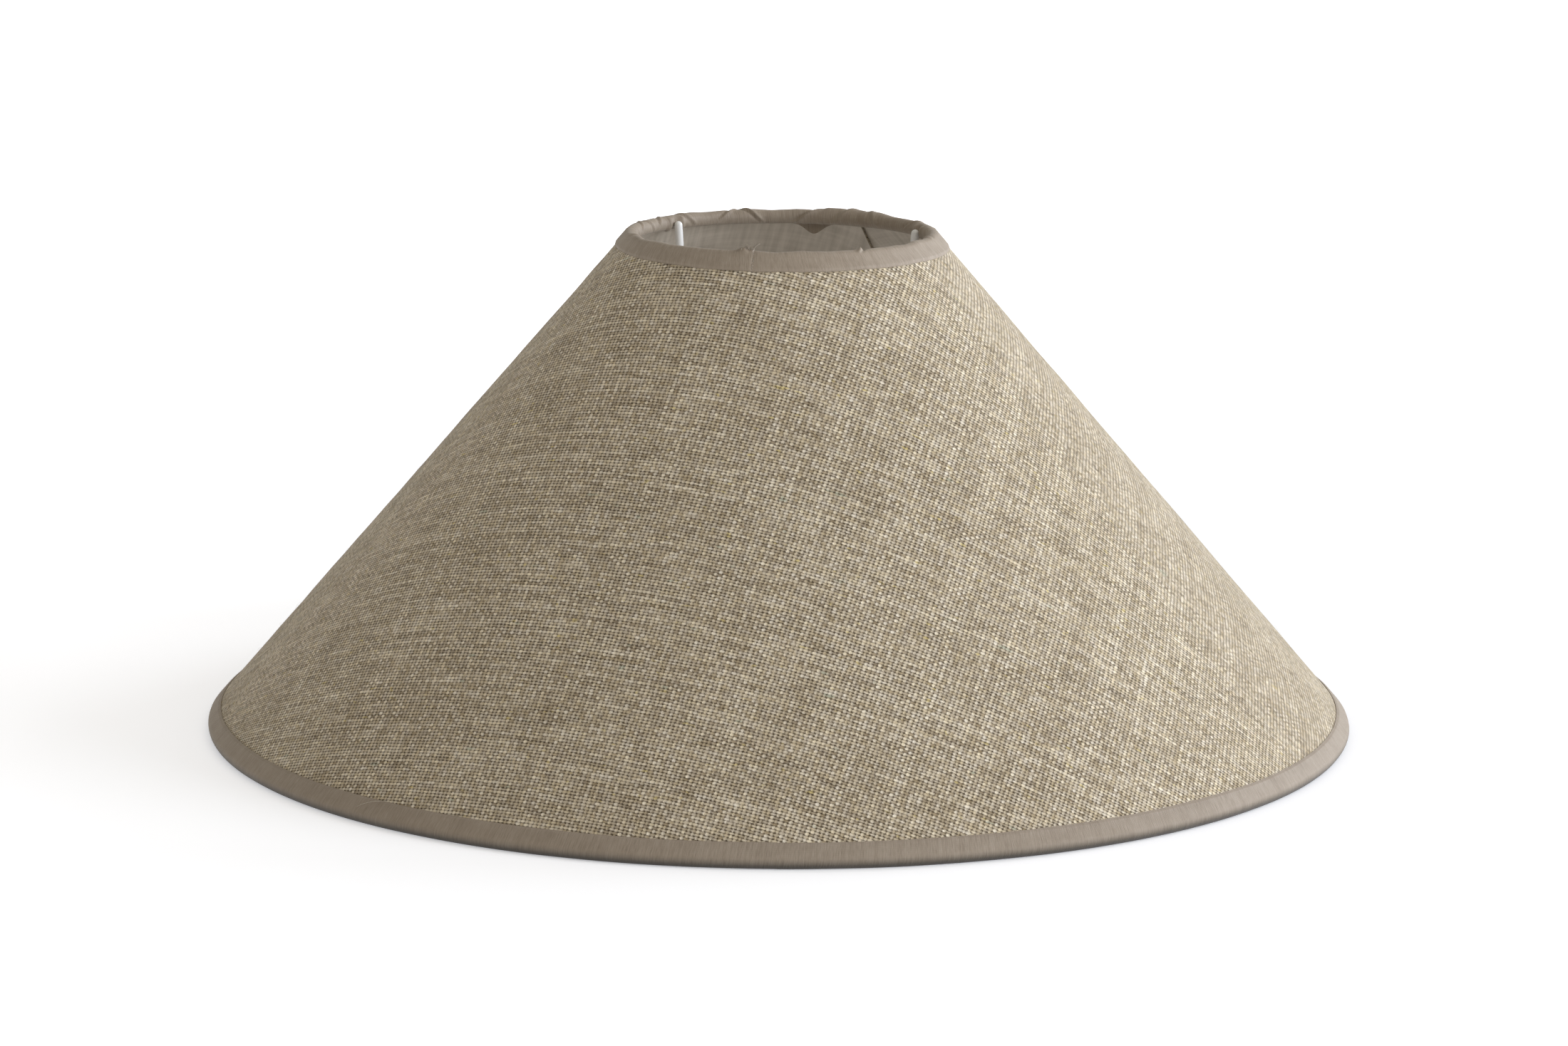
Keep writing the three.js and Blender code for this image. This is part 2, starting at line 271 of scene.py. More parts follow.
# node helpers
class Nodes:
    # a material's node tree with short calls; each call returns an output socket
    def __init__(self, name):
        self.material = bpy.data.materials.new(name)
        self.material.use_nodes = True
        self.tree = self.material.node_tree
        self.shader = self.tree.nodes["Principled BSDF"]

    def put(self, socket, value):
        if isinstance(value, bpy.types.NodeSocket):
            self.tree.links.new(value, socket)
        else:
            socket.default_value = value

    def math(self, operation, *values, clamp=False):
        node = self.tree.nodes.new("ShaderNodeMath")
        node.operation = operation
        node.use_clamp = clamp
        for socket, value in zip(node.inputs, values):
            self.put(socket, value)
        return node.outputs[0]

    def axes(self, vector):
        node = self.tree.nodes.new("ShaderNodeSeparateXYZ")
        self.put(node.inputs[0], vector)
        return tuple(node.outputs)

    def length(self, vector):
        node = self.tree.nodes.new("ShaderNodeVectorMath")
        node.operation = "LENGTH"
        self.put(node.inputs[0], vector)
        return node.outputs["Value"]

    def uv(self):
        node = self.tree.nodes.new("ShaderNodeUVMap")
        node.uv_map = "flatCut"
        return self.axes(node.outputs[0])[:2]

    def object(self):
        return self.tree.nodes.new("ShaderNodeTexCoord").outputs["Object"]

    def vector(self, x, y, z=0.0):
        node = self.tree.nodes.new("ShaderNodeCombineXYZ")
        for socket, value in zip(node.inputs, (x, y, z)):
            self.put(socket, value)
        return node.outputs[0]

    def noise(self, vector, scale=1.0, detail=2.0):
        node = self.tree.nodes.new("ShaderNodeTexNoise")
        self.put(node.inputs["Vector"], vector)
        node.inputs["Scale"].default_value = scale
        node.inputs["Detail"].default_value = detail
        return node.outputs[0]

    def random(self, vector):
        node = self.tree.nodes.new("ShaderNodeTexWhiteNoise")
        node.noise_dimensions = "3D"
        self.put(node.inputs["Vector"], vector)
        return node.outputs[0]

    def spread(self, value, low, high, toLow=0.0, toHigh=1.0, soft=False):
        node = self.tree.nodes.new("ShaderNodeMapRange")
        node.interpolation_type = "SMOOTHSTEP" if soft else "LINEAR"
        for socket, number in zip(list(node.inputs)[:5], (value, low, high, toLow, toHigh)):
            self.put(socket, number)
        return node.outputs[0]

    def mix(self, share, first, second, blend="MIX"):
        node = self.tree.nodes.new("ShaderNodeMix")
        node.data_type = "RGBA"
        node.blend_type = blend
        self.put(node.inputs[0], share)
        self.put(node.inputs[6], colour(first))
        self.put(node.inputs[7], colour(second))
        return node.outputs[2]

    def ramp(self, value, *stops):
        node = self.tree.nodes.new("ShaderNodeValToRGB")
        elements = node.color_ramp.elements
        while len(elements) < len(stops):
            elements.new(0.5)
        for element, (place, tint) in zip(elements, stops):
            element.position = place
            element.color = colour(tint)
        self.put(node.inputs[0], value)
        return node.outputs[0]

    def bump(self, height, distance):
        node = self.tree.nodes.new("ShaderNodeBump")
        node.inputs["Distance"].default_value = distance
        self.put(node.inputs["Height"], height)
        return node.outputs[0]

    def finish(self, **values):
        for name, value in values.items():
            self.put(self.shader.inputs[name.replace("_", " ")], value)
        return self.material


def colour(value):
    return (*value, 1.0) if isinstance(value, tuple) and len(value) == 3 else value


# linen
linen = {
    "columns": 540, "rows": 88,
    "lie": 0.00012, "pressedEnd": 0.006, "topPress": 0.007, "bottomPress": 0.006,
    "endPitch": 0.00168, "pickPitch": 0.00124,
    "endDrift": 0.0010, "pickDrift": 0.0008,  # how far the yarns wander
    "endShiver": 0.42, "pickShiver": -0.46, "endSway": 0.34, "pickSway": 0.40,  # as shares of the pitch
    "endWidth": (0.21, 0.36), "pickWidth": (0.37, 0.60),
    "endTwist": 0.30, "pickTwist": -0.16, "fibreScale": (7600, 900),
    "dark": (0.285, 0.225, 0.146), "middle": (0.545, 0.462, 0.338), "light": (0.860, 0.775, 0.625),
    "straw": (0.62, 0.50, 0.20), "bark": (0.23, 0.150, 0.088), "green": (0.46, 0.47, 0.36),
    "nep": (0.88, 0.80, 0.66), "paintedHollowShade": (0.080, 0.057, 0.032),
    "fleckStretch": 1.9, "fleckShare": 0.75,
    "depth": 0.00034,
}


def linenMaterial():
    # a plain weave in the flat cut's own directions: thin round ends stand proud of fat soft picks, each
    # yarn has its own width and colour, and the hollows between them are painted dark as shade
    n = Nodes("naturalLinen")
    x, y = n.uv()
    place = n.vector(x, y)
    drift = n.noise(place, 60, 2)
    driftToo = n.noise(n.vector(y, x, 3.1), 55, 2)
    ends = n.math("DIVIDE", n.math("MULTIPLY_ADD", drift, linen["endDrift"], x), linen["endPitch"])
    picks = n.math("DIVIDE", n.math("MULTIPLY_ADD", driftToo, linen["pickDrift"], y), linen["pickPitch"])
    endIndex, pickIndex = n.math("FLOOR", ends), n.math("FLOOR", picks)
    shiver = n.math("SUBTRACT", n.noise(place, 2600, 2), 0.5)
    endPlace = n.vector(n.math("MULTIPLY", endIndex, 4.37), n.math("MULTIPLY", y, 330))
    pickPlace = n.vector(n.math("MULTIPLY", x, 260), n.math("MULTIPLY", pickIndex, 6.13))
    endSway = n.math("SUBTRACT", n.noise(endPlace), 0.5)
    pickSway = n.math("SUBTRACT", n.noise(pickPlace), 0.5)

    def placeAcross(count, shiverShare, sway, swayShare):
        # from -0.5 to 0.5 across one yarn, pushed aside by the shiver and by the yarn's own sway
        middle = n.math("SUBTRACT", n.math("FRACT", count), 0.5)
        return n.math("MULTIPLY_ADD", sway, swayShare, n.math("MULTIPLY_ADD", shiver, shiverShare, middle))

    acrossEnd = placeAcross(ends, linen["endShiver"], endSway, linen["endSway"])
    acrossPick = placeAcross(picks, linen["pickShiver"], pickSway, linen["pickSway"])
    parity = n.math("FLOORED_MODULO", n.math("ADD", endIndex, pickIndex), 2.0)
    each = n.random(n.vector(endIndex, pickIndex, 1.0))

    # slubs: each yarn swells and thins along its length, the picks more than the ends
    endSlub = n.noise(n.vector(n.math("MULTIPLY", endIndex, 7.31), n.math("MULTIPLY", y, 130)), 1, 2)
    pickSlub = n.noise(n.vector(n.math("MULTIPLY", x, 60), n.math("MULTIPLY", pickIndex, 5.77)), 1, 3)
    endWidth = n.math("MULTIPLY_ADD", each, 0.07, n.spread(endSlub, 0.3, 0.72, *linen["endWidth"]))
    pickWidth = n.math("MULTIPLY_ADD", each, -0.09, n.spread(pickSlub, 0.3, 0.74, *linen["pickWidth"]))

    def yarn(across, halfWidth, other, over, roundness, crimp):
        # a round back across the yarn, lifted where it passes over and dropped where it passes under
        share = n.math("DIVIDE", across, halfWidth)
        back = n.math("SQRT", n.math("SUBTRACT", 1.0, n.math("MULTIPLY", share, share), clamp=True))
        crest = n.math("MULTIPLY", n.math("COSINE", n.math("MULTIPLY", other, np.pi)), over)
        return n.math("MULTIPLY_ADD", back, roundness, n.math("MULTIPLY", crest, crimp))

    over = n.math("MULTIPLY_ADD", parity, -2.0, 1.0)
    under = n.math("MULTIPLY", over, -1.0)
    endHeight = yarn(acrossEnd, endWidth, acrossPick, over, 0.50, 0.50)
    pickHeight = yarn(acrossPick, pickWidth, acrossEnd, under, 0.52, 0.24)
    pickHeight = n.math("MULTIPLY_ADD", n.math("SUBTRACT", pickSlub, 0.5), 0.35, pickHeight)
    height = n.math("MAXIMUM", endHeight, pickHeight)
    endOnTop = n.spread(n.math("SUBTRACT", endHeight, pickHeight), -0.02, 0.02)
    pickOnTop = n.math("SUBTRACT", 1.0, endOnTop)

    # fibres run along each yarn, slanted by its twist
    fine, coarse = linen["fibreScale"]
    endTwist = n.math("MULTIPLY_ADD", y, linen["endTwist"], x)
    pickTwist = n.math("MULTIPLY_ADD", x, linen["pickTwist"], y)
    endFibre = n.noise(n.vector(n.math("MULTIPLY", endTwist, fine), n.math("MULTIPLY", y, coarse)), 1, 2)
    pickFibre = n.noise(n.vector(n.math("MULTIPLY", x, coarse), n.math("MULTIPLY", pickTwist, fine)), 1, 2)
    fibre = n.math("ADD", n.math("MULTIPLY", endFibre, endOnTop), n.math("MULTIPLY", pickFibre, pickOnTop))
    relief = n.math("MULTIPLY_ADD", fibre, 0.16, height)

    # colour: each yarn's own tone, paler slubs, uneven floats, then flecks of straw, bark and green
    endTone = n.math("MULTIPLY_ADD", n.random(n.vector(endIndex, 3.0)), 0.24,
                     n.math("MULTIPLY_ADD", endSlub, 0.45, 0.23))
    pickTone = n.math("MULTIPLY_ADD", n.random(n.vector(7.0, pickIndex)), 0.28,
                      n.math("MULTIPLY_ADD", pickSlub, 0.62, 0.06))
    tone = n.math("ADD", n.math("MULTIPLY", endTone, endOnTop), n.math("MULTIPLY", pickTone, pickOnTop))
    tone = n.math("MULTIPLY_ADD", n.math("SUBTRACT", fibre, 0.5), 0.95, tone)
    tone = n.math("MULTIPLY_ADD", n.math("SUBTRACT", each, 0.5), 0.32, tone)
    streak = n.noise(n.vector(n.math("MULTIPLY", x, 26), n.math("MULTIPLY", pickIndex, 3.91), 8.0), 1, 2)
    tone = n.math("MULTIPLY_ADD", n.spread(streak, 0.60, 0.74, 0.0, 0.26), pickOnTop, tone)
    tone = n.math("MULTIPLY_ADD", n.math("SUBTRACT", n.noise(place, 26, 3), 0.5), 0.16, tone)
    tint = n.ramp(tone, (0.15, linen["dark"]), (0.50, linen["middle"]), (0.92, linen["light"]))

    warm = n.spread(n.noise(n.vector(x, y, 4.4), 340, 3), 0.38, 0.64)
    tint = n.mix(1.0, tint, n.mix(warm, (0.985, 1.0, 1.04), (1.03, 1.0, 0.91)), "MULTIPLY")

    def flecks(seed, size, threshold, fleckTone, under):
        tall = n.math("MULTIPLY", y, size * linen["fleckStretch"])
        spots = n.noise(n.vector(n.math("MULTIPLY", x, size), tall, seed), 1, 1)
        share = n.spread(spots, threshold, threshold + 0.07, 0.0, linen["fleckShare"])
        return n.mix(share, under, fleckTone)

    tint = flecks(1.7, 240, 0.71, linen["straw"], tint)
    tint = flecks(5.2, 330, 0.735, linen["bark"], tint)
    tint = flecks(9.4, 150, 0.73, linen["green"], tint)
    tint = flecks(13.8, 420, 0.74, linen["nep"], tint)
    # painted shade: the low places between the yarns are darkened by their height, standing in for shade
    paintedHollowShade = n.spread(height, 0.05, 0.81, 0.0, 1.0, soft=True)
    tint = n.mix(paintedHollowShade, linen["paintedHollowShade"], tint)
    return n.finish(Base_Color=tint, Roughness=0.92, Specular_IOR_Level=0.15, Sheen_Weight=0.25,
                    Sheen_Roughness=0.4, Sheen_Tint=(1.0, 0.97, 0.90, 1.0),
                    Normal=n.bump(relief, linen["depth"]))


def rolledSheet(name, depth, thickness, rows, columns, relief):
    # a section of many points on the outer face and two on the inner one, carried round a whole turn and on
    # over the seam; the relief lifts the outer face
    angle = np.linspace(0, 360, columns)
    overlap = np.linspace(0, 1, 9)[1:]
    along = np.linspace(0, slopeLength, rows)
    radius = topCore[0] + along * down[0]
    lap = np.degrees(shade["seamWidth"] / radius)
    angles = np.vstack([np.repeat(angle[:, None], rows, 1), 360 + overlap[:, None] * lap[None, :]])
    azimuth = shade["seamAzimuth"] - 360 + angles
    out = shade["edgeHalf"] - depth + seamRise(angles)
    face = out + relief(azimuth, along[None, :])
    back = out[:, [-1, 0]] - thickness
    backAlong = np.repeat(along[None, [-1, 0]], len(angles), 0)
    alongs = np.hstack([np.repeat(along[None], len(angles), 0), backAlong])
    azimuths = np.hstack([azimuth, azimuth[:, [-1, 0]]])
    points = toPoints(azimuths, *sectionPoint(topCore, alongs, np.hstack([face, back])))
    cut = np.stack(flatCut(azimuths, alongs), axis=-1)
    return gridMesh(name, points[:, ::-1], closeAcross=True, uv=cut[:, ::-1], capEnds=True)


def makeLinen():
    def lie(azimuth, along):  # the sheet's slight waves, pressed flat under the tapes
        x, y = flatCut(azimuth, along)
        free = smooth((along - linen["topPress"]) / linen["pressedEnd"])
        free = free * smooth((slopeLength - linen["bottomPress"] - along) / linen["pressedEnd"])
        waves = latticeNoise(x / 0.021, y / 0.006, 11) + 0.6 * latticeNoise(x / 0.05, y / 0.04, 12)
        return linen["lie"] * free * waves

    cover = rolledSheet("linenCover", 0.0, shade["linen"], linen["rows"], linen["columns"], lie)
    finishPiece(cover, linenMaterial(), "linen", "linen_cover")


# liner
liner = {
    "rows": 24, "columns": 360, "dark": (0.40, 0.350, 0.280), "pale": (0.56, 0.500, 0.415),
    "roughness": 0.42, "specular": 0.35, "depth": 0.00004,
}


def linerMaterial():
    # painted shade and light: the white styrene gets dark brownish tones for the shade inside the shade,
    # and its streaks stand for the linen's weave showing through against the light
    n = Nodes("styreneLinerPaintedShade")
    x, y = n.uv()
    streaks = n.noise(n.vector(n.math("MULTIPLY", x, 40), n.math("MULTIPLY", y, 420)), 1, 3)
    crossing = n.noise(n.vector(n.math("MULTIPLY", x, 380), n.math("MULTIPLY", y, 30)), 1, 3)
    shadow = n.math("ADD", n.math("MULTIPLY", streaks, 0.6), n.math("MULTIPLY", crossing, 0.4))
    tint = n.ramp(shadow, (0.34, liner["dark"]), (0.62, liner["pale"]))
    return n.finish(Base_Color=tint, Roughness=liner["roughness"], Specular_IOR_Level=liner["specular"],
                    Normal=n.bump(shadow, liner["depth"]))


def makeLiner():
    depth = shade["linen"] + shade["gap"]

    def flat(azimuth, along):
        return 0.0 * azimuth

    sheet = rolledSheet("linerSheet", depth, shade["liner"], liner["rows"], liner["columns"], flat)
    finishPiece(sheet, linerMaterial(), "liner", "liner")


# edging tapes, thinned at their raw edges; the fold that rests on the floor is painted darker as contact
# shade, from "shadow" up to its full tone between the two heights of "foot"
tapes = {
    "ribPitch": 0.00046, "thickness": 0.0005, "wrapTurn": 50.0,
    "rawEdge": 0.0012, "press": 0.0002, "thin": 0.45,
    "tone": (0.280, 0.228, 0.172), "pale": (0.375, 0.318, 0.252), "deep": (0.180, 0.140, 0.100),
    "threadPitch": 0.00042, "slant": 0.12, "depth": 0.00010,
    "foot": (0.0005, 0.0046), "shadow": 0.14,
    "above": 0.00011,  # from the linen's face to the glued side
    "top": {
        "leg": 0.0070, "tuck": 0.0011, "flap": 0.0026, "columns": 960,
        "joinAzimuth": -10.4, "joinStep": 0.00032, "wobble": 0.00036,
    },
    "bottom": {
        "leg": 0.0060, "tuck": 0.0035, "flap": 0.0, "columns": 960,
        "joinAzimuth": 163.0, "joinStep": 0.00040, "wobble": 0.00007,
    },
}

# creases of the top tape: azimuth, slant over the roll in degrees of azimuth, height and half width
creases = [
    (32, 7, 0.00095, 0.0008), (75, 6, 0.00040, 0.0014), (96, -7, 0.00045, 0.0012),
    (117, 9, 0.00055, 0.0011), (141, -8, 0.00040, 0.0013), (154, 8, 0.00050, 0.0015),
    (168, 13, 0.00085, 0.0012), (192, -10, 0.00070, 0.0010), (202, 12, 0.00055, 0.0012),
    (221, -9, 0.00045, 0.0011), (237, 6, 0.00040, 0.0010), (245, -5, 0.00035, 0.0008),
    (253, 8, 0.00040, 0.0010), (263, -6, 0.00030, 0.0009), (286, 6, 0.00030, 0.0013),
    (343, -9, 0.00050, 0.0014),
]
armAzimuths = (108, 228, 348)
flap = {"azimuth": 168.0, "halfWidth": 4.2, "hang": 0.0030}
bunch = {"azimuth": -12.8, "halfWidth": 2.1, "height": 0.0013}  # where the tape's cut end is gathered
dent = {"depth": 0.0009, "width": 0.0018, "lip": 0.0006, "lipPlace": 0.0036, "lipWidth": 0.0012}


def tapeMaterial():
    # fine cross ribs, uneven in tone, over a faint lengthwise weave
    n = Nodes("ribbedTape")
    x, y = n.uv()
    drift = n.noise(n.vector(n.math("MULTIPLY", x, 120), n.math("MULTIPLY", y, 90)), 1, 2)
    slanted = n.math("MULTIPLY_ADD", y, tapes["slant"], x)
    ribs = n.math("DIVIDE", n.math("MULTIPLY_ADD", drift, 0.0004, slanted), tapes["ribPitch"])
    wave = n.math("COSINE", n.math("MULTIPLY", n.math("FRACT", ribs), 2 * np.pi))
    threads = n.math("COSINE", n.math("MULTIPLY", y, 2 * np.pi / tapes["threadPitch"]))
    grain = n.noise(n.vector(n.math("MULTIPLY", slanted, 4200), n.math("MULTIPLY", y, 300)), 1, 2)
    each = n.random(n.vector(n.math("FLOOR", ribs), 2.0))
    relief = n.math("ADD", n.math("MULTIPLY_ADD", wave, -0.14, n.math("MULTIPLY", threads, 0.07)), grain)
    tone = n.math("MULTIPLY_ADD", each, 0.12, n.math("MULTIPLY", grain, 0.56))
    # painted shade: the grooves between the ribs are a little darker
    tone = n.math("MULTIPLY_ADD", wave, -0.035, tone)
    patches = n.noise(n.vector(n.math("MULTIPLY", x, 90), n.math("MULTIPLY", y, 150)), 1, 3)
    tone = n.math("MULTIPLY_ADD", patches, 0.30, tone)
    tint = n.ramp(tone, (0.20, tapes["deep"]), (0.48, tapes["tone"]), (0.80, tapes["pale"]))
    # painted shade: darker towards the floor, standing for the contact shade under the bottom tape's fold
    foot = n.spread(n.axes(n.object())[2], *tapes["foot"], tapes["shadow"], 1.0, soft=True)
    tint = n.mix(1.0, tint, n.vector(foot, foot, foot), "MULTIPLY")
    return n.finish(Base_Color=tint, Roughness=0.62, Specular_IOR_Level=0.45, Sheen_Weight=0.12,
                    Sheen_Roughness=0.5, Sheen_Tint=(0.95, 0.92, 0.86, 1.0),
                    Normal=n.bump(relief, tapes["depth"]))


def tapeSpine(leg, tuckLength, side):
    # the face that lies on the edge, as distances along and out, the way it looks as a turn from outward,
    # the share of the seam's rise that it takes and the share of the tucked end: a leg, half a turn about
    # the core, on round the wire, back to the liner and a short way down it
    half = shade["edgeHalf"] + tapes["above"] + shade["gap"]
    wrap = shade["wire"] / 2 + shade["gap"]
    wrapTurn = radians(tapes["wrapTurn"])
    linerOut = shade["edgeHalf"] - shade["linen"] - shade["liner"] - 2 * shade["gap"]
    legAlong = -leg * (1 - np.linspace(0, 1, 15)[:-1] ** 1.5)
    turn = np.linspace(0, np.pi, 22)
    past = np.linspace(np.pi, np.pi + wrapTurn, 7)[1:]
    ringOut = wrap - half
    leaveOut, leaveAlong = ringOut - wrap * np.cos(wrapTurn), -wrap * np.sin(wrapTurn)
    landAlong = leaveAlong - (linerOut - leaveOut) / np.tan(wrapTurn)
    tucked = np.linspace(0, 1, 7)
    along = np.concatenate([legAlong, half * np.sin(turn), wrap * np.sin(past),
                            landAlong - tuckLength * tucked])
    out = np.concatenate([0 * legAlong + half, half * np.cos(turn), ringOut + wrap * np.cos(past),
                          0 * tucked + linerOut])
    looks = np.concatenate([0 * legAlong, turn, past, 0 * tucked + np.pi])
    share = np.concatenate([0 * legAlong + 1, (1 + np.cos(turn)) / 2, 0 * past, 0 * tucked])
    tuck = np.concatenate([0 * legAlong, 0 * turn, 0 * past, tucked])
    return side * along, out, looks, share, tuck


def tapeRise(azimuth, radius):
    # the seam's rise under the tape: up along the ramp, held over the lap, then down again
    angle = np.mod(azimuth - shade["seamAzimuth"], 360)
    held = np.degrees(shade["seamWidth"] / radius)
    after = shade["seamRise"] * (1 - smooth((angle - held) / 2.5))
    return np.where(angle < 180, after, seamRise(angle))


def turnFrom(azimuth, place):  # the turn from a place, between -180 and 180 degrees
    return np.mod(azimuth - place + 180, 360) - 180


def joinLift(azimuth, tape, reach=14.0):
    # the tape's far end lies on its start: a slow climb and then a step down at the cut end
    past = turnFrom(azimuth, tape["joinAzimuth"])
    return tape["joinStep"] * smooth(1 + past / reach) * (past < 0)


def makeTape(name, node, core, side, tape, lift, legShare):
    along, out, looks, share, tuck = tapeSpine(tape["leg"], tape["tuck"], side)
    across = np.concatenate([[0], np.cumsum(np.hypot(np.diff(along), np.diff(out)))])
    azimuth = np.arange(tape["columns"]) * 360 / tape["columns"]
    angle, width = np.meshgrid(azimuth, across, indexing="ij")
    rise = tapeRise(azimuth, core[0])[:, None] * share
    onLeg = (looks == 0) & (along * side < 0)
    alongs = np.where(onLeg, along * legShare(azimuth)[:, None], along)
    loose = bump(turnFrom(azimuth, flap["azimuth"]), flap["halfWidth"])[:, None] * tuck * (side < 0)
    hanging = flap["hang"] * loose
    uneven = 0.18 * tape["tuck"] * latticeNoise(azimuth / 7, 0 * azimuth, 26)[:, None] * tuck
    alongs = alongs - side * (tape["flap"] * loose + uneven)
    pressed = 1 - smooth(across / tapes["rawEdge"])
    pressed = pressed + 0.5 * (1 - smooth((across[-1] - across) / tapes["rawEdge"]))
    thickness = tapes["thickness"] * (1 - tapes["thin"] * pressed)
    faceLift = lift(angle, width, looks) * (1 - smooth((width - across[-8]) / 0.001))
    faceLift = faceLift + joinLift(azimuth, tape)[:, None] * np.where(tuck > 0, 0, 1)

    def face(offset):
        a = alongs + side * offset * np.sin(looks)
        o = out + offset * np.cos(looks) + rise - hanging - tapes["press"] * pressed * (looks == 0)
        return sectionPoint(core, a, o)

    outer = face(thickness + faceLift)
    inner = face(np.minimum(faceLift, 0.0))
    radius = np.hstack([outer[0], inner[0][:, ::-1]])
    height = np.maximum(np.hstack([outer[1], inner[1][:, ::-1]]), 0)
    angles = np.repeat(azimuth[:, None], radius.shape[1], 1)
    points = toPoints(angles, radius, height)
    length = 2 * np.pi * core[0]
    widths = np.concatenate([across, across[::-1]])[None].repeat(len(azimuth), 0)
    cut = np.stack([angles / 360 * length, widths], axis=-1)
    order = slice(None) if side < 0 else slice(None, None, -1)  # so that the faces point outwards
    piece = gridMesh(name, points[:, order], closeAcross=True, closeAlong=True, uv=cut[:, order],
                     around=length)
    finishPiece(piece, bpy.data.materials["ribbedTape"], "edging_tape", node)


def makeTapes():
    tapeMaterial()

    def topLift(angle, width, looks):
        # soft lumps where the tape is turned over the wire, creases across the roll, and a dent at each arm
        run = np.radians(angle) * topCore[0]
        roll = np.sin(np.clip(looks, 0, np.pi))
        lumps = latticeNoise(run / 0.009, width / 0.008, 21)
        lumps = lumps + 0.5 * latticeNoise(run / 0.0038, width / 0.006, 22)
        total = tapes["top"]["wobble"] * lumps * (0.12 + 0.88 * roll)
        for place, slant, height, halfWidth in creases:
            off = np.radians(turnFrom(angle, place) - slant * (looks / np.pi - 0.5)) * topCore[0]
            ridge = bump(off, halfWidth) - 0.8 * bump(off - 1.7 * halfWidth, halfWidth)
            total = total + height * ridge * np.sqrt(roll)
        ragged = 1 + 0.5 * latticeNoise(run / 0.0006, 0 * width, 27)
        gathered = bump(turnFrom(angle, bunch["azimuth"]), bunch["halfWidth"])
        before = turnFrom(angle, tapes["top"]["joinAzimuth"]) < 0
        total = total + bunch["height"] * ragged * gathered * roll * before
        for place in armAzimuths:
            off = np.radians(turnFrom(angle, place)) * topCore[0]
            inside = smooth((looks - 1.2) / 0.8)
            lips = dent["lip"] * bump(np.abs(off) - dent["lipPlace"], dent["lipWidth"])
            total = total + inside * (lips - dent["depth"] * bump(off, dent["width"]))
        return total

    def bottomLift(angle, width, looks):
        run = np.radians(angle) * bottomCore[0]
        return tapes["bottom"]["wobble"] * latticeNoise(run / 0.02, width / 0.01, 23)

    def topLeg(azimuth):  # cut by hand: narrower on the left
        uneven = 0.02 * latticeNoise(azimuth / 9, 0 * azimuth, 24)
        return 1 - 0.15 * bump(turnFrom(azimuth, -80), 40) + uneven

    def bottomLeg(azimuth):
        return 1 + 0.03 * latticeNoise(azimuth / 14, 0 * azimuth, 25)

    makeTape("topTape", "top_trim", topCore, -1, tapes["top"], topLift, topLeg)
    makeTape("bottomTape", "bottom_trim", bottomCore, 1, tapes["bottom"], bottomLift, bottomLeg)


# seam tape
seamTape = {
    "width": 0.009, "inset": 0.0015, "margin": 0.004, "thickness": 0.0002,
    "dull": (0.68, 0.65, 0.57), "clear": (0.84, 0.82, 0.76),
}


def adhesiveMaterial():
    n = Nodes("clearAdhesive")
    x, y = n.uv()
    patches = n.noise(n.vector(n.math("MULTIPLY", x, 500), n.math("MULTIPLY", y, 90)), 1, 3)
    tint = n.ramp(patches, (0.3, seamTape["dull"]), (0.7, seamTape["clear"]))
    return n.finish(Base_Color=tint, Roughness=0.5, Normal=n.bump(patches, 0.00003))


def makeSeamTape():
    # a strip on the start of the roll, under its end: distance down the slope by share of the width
    along = np.linspace(seamTape["margin"], slopeLength - seamTape["margin"], 60)
    share = np.linspace(0, 1, 7)[:, None]
    radius = topCore[0] + along * down[0]
    angle = np.degrees((seamTape["inset"] + share * seamTape["width"]) / radius)
    back = 0 * angle + shade["edgeHalf"] + shade["gap"]
    alongs = np.repeat(along[None], len(share), 0)
    alongs = np.hstack([alongs, alongs[:, ::-1]])
    outs = np.hstack([back + seamTape["thickness"], back[:, ::-1]])
    azimuths = shade["seamAzimuth"] - 360 + np.hstack([angle, angle[:, ::-1]])
    points = toPoints(azimuths, *sectionPoint(topCore, alongs, outs))
    cut = np.stack(flatCut(azimuths, alongs), axis=-1)
    strip = gridMesh("seamStrip", points[:, ::-1], closeAcross=True, uv=cut[:, ::-1], capEnds=True)
    finishPiece(strip, adhesiveMaterial(), "adhesive", "seam_tape")


# rings and fitter
fitter = {
    "wire": 0.0032, "lean": 5.0, "bend": 0.008, "topLevel": 0.193, "innerEnd": 0.023, "gap": 0.0003,
    "bore": 0.021, "edgeRound": 0.0005, "ringInset": 0.00065,
    "tarnished": (0.34, 0.30, 0.26), "bright": (0.56, 0.57, 0.59),
    "yellowed": (0.80, 0.795, 0.765), "white": (0.87, 0.87, 0.86),
}
weld = {"radius": 0.0252, "halfLength": 0.0021, "halfWidth": 0.0024, "height": 0.0018, "sunk": 0.0001}


def steelMaterial():
    # drawn wire: fine lines along it, a little tarnish
    n = Nodes("drawnSteel")
    x, y = n.uv()
    lines = n.noise(n.vector(n.math("MULTIPLY", x, 60), n.math("MULTIPLY", y, 9000)), 1, 2)
    tarnish = n.noise(n.vector(n.math("MULTIPLY", x, 180), n.math("MULTIPLY", y, 180)), 1, 4)
    tint = n.ramp(tarnish, (0.35, fitter["tarnished"]), (0.6, fitter["bright"]))
    rough = n.spread(tarnish, 0.3, 0.7, 0.6, 0.32)
    return n.finish(Base_Color=tint, Metallic=1.0, Roughness=rough, Normal=n.bump(lines, 0.00002))


def coatMaterial():
    # white powder coat: a faint orange peel, slightly yellowed in patches
    n = Nodes("whitePowderCoat")
    place = n.object()
    peel = n.noise(place, 1400, 2)
    patches = n.noise(place, 90, 3)
    tint = n.ramp(patches, (0.35, fitter["yellowed"]), (0.65, fitter["white"]))
    rough = n.spread(peel, 0.3, 0.7, 0.30, 0.42)
    return n.finish(Base_Color=tint, Roughness=rough, Normal=n.bump(peel, 0.00004))


